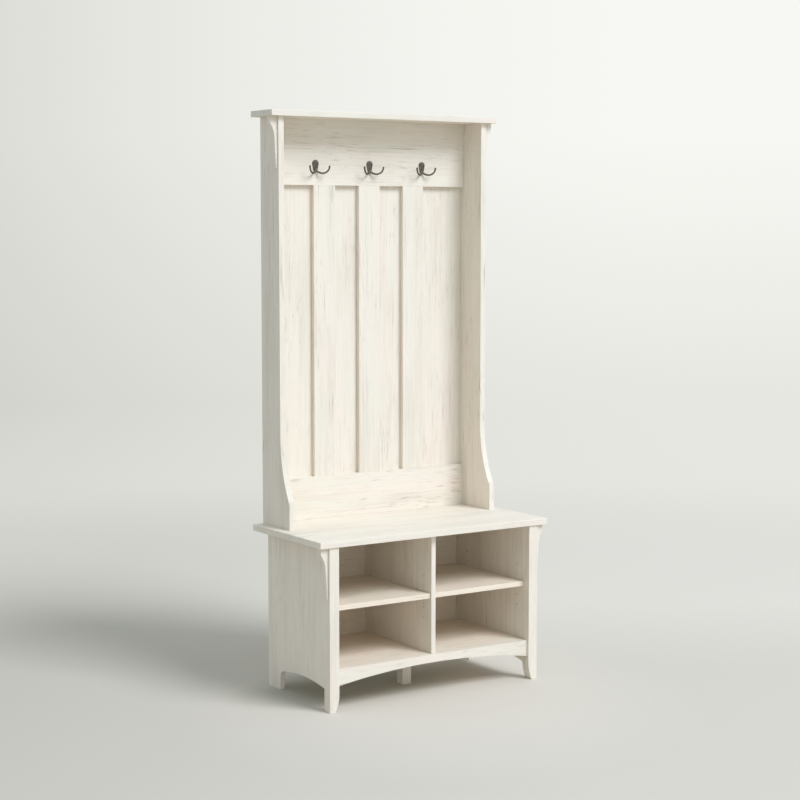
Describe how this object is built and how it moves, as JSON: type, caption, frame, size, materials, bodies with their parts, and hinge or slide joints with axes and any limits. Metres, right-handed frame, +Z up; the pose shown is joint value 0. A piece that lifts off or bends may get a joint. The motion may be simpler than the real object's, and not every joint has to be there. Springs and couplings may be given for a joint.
{
  "type": "hall tree with hooks",
  "caption": "Free-standing hall tree: an open-cubby shoe bench with adjustable shelves under a panelled hutch with a hook rail of double-prong coat hooks.",
  "frame": {"origin": "on the floor, under the centre of the bounding box", "axes": "+Z up, +X to the right as seen from the front, the front faces -Y"},
  "size_m": [0.816, 0.398, 1.74],
  "materials": {
    "fitting_steel": "nickel-plated steel",
    "hook_bronze": "dark antique bronze, satin",
    "white_hardboard": "thin hardboard with the same whitewashed wood-grain face, matte",
    "whitewashed_board": "whitewashed wood-grain laminate, matte, fine brown-grey distress streaks"
  },
  "bodies": {
    "left_shelf_body": {"left_shelf": "whitewashed_board"},
    "right_shelf_body": {"right_shelf": "whitewashed_board"},
    "frame": {"bench_back_panel": "white_hardboard", "bottom_panel": "whitewashed_board", "centre_divider": "whitewashed_board", "centre_hook": "hook_bronze", "centre_leg": "whitewashed_board", "centre_stile": "whitewashed_board", "front_apron": "whitewashed_board", "hook_rail": "whitewashed_board", "hutch_back_panel": "white_hardboard", "hutch_cap": "whitewashed_board", "left_bench_bracket": "whitewashed_board", "left_cap_bracket": "whitewashed_board", "left_front_post": "whitewashed_board", "left_hook": "hook_bronze", "left_hutch_side": "whitewashed_board", "left_shelf_pins": "fitting_steel", "left_side_panel": "whitewashed_board", "left_stile": "whitewashed_board", "lower_rail": "whitewashed_board", "right_bench_bracket": "whitewashed_board", "right_cap_bracket": "whitewashed_board", "right_front_post": "whitewashed_board", "right_hook": "hook_bronze", "right_hutch_side": "whitewashed_board", "right_shelf_pins": "fitting_steel", "right_side_panel": "whitewashed_board", "right_stile": "whitewashed_board", "seat_top": "whitewashed_board"}
  },
  "joints": [
    {"name": "left_shelf_slide", "type": "slide", "parent": "frame", "child": "left_shelf_body", "axis": [0, -1, 0], "range_m": [0, 0.385]},
    {"name": "right_shelf_slide", "type": "slide", "parent": "frame", "child": "right_shelf_body", "axis": [0, -1, 0], "range_m": [0, 0.385]}
  ]
}
